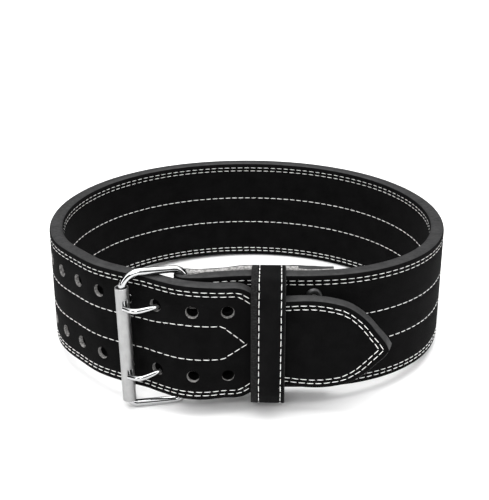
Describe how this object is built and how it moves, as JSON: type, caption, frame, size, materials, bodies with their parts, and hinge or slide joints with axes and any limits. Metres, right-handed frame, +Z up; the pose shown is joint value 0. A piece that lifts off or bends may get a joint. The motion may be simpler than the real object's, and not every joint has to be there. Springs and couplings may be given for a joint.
{
  "type": "weightlifting belt",
  "caption": "Thick leather lifting belt fastened into a waist loop by a roller buckle with twin prongs, a keeper and a pointed free end.",
  "frame": {"origin": "centre of the bounding box in plan, on the surface that the belt stands on", "axes": "+X along the waist loop's long axis, from the roller towards the tongue's tip; -Y is the buckle side; +Z up"},
  "size_m": [0.3446, 0.3132, 0.1223],
  "materials": {
    "suede_leather": "matt black suede faces, dark grey painted edges, white lockstitch",
    "keeper_leather": "matt black leather band, white lockstitch near both edges",
    "nickel_wire": "bright nickel-plated steel wire",
    "satin_roller": "satin rolled steel tube",
    "rivet_metal": "plated steel, matt disc inside and dimpled cap outside"
  },
  "bodies": {
    "root": {"strap": "suede_leather", "keeper": "keeper_leather", "buckle_frame": "nickel_wire", "roller": "satin_roller", "prong_lower": "nickel_wire", "prong_upper": "nickel_wire", "rivet_fold_lower": "rivet_metal", "rivet_fold_middle": "rivet_metal", "rivet_fold_upper": "rivet_metal", "rivet_end_lower": "rivet_metal", "rivet_end_middle": "rivet_metal", "rivet_end_upper": "rivet_metal"}
  },
  "joints": []
}
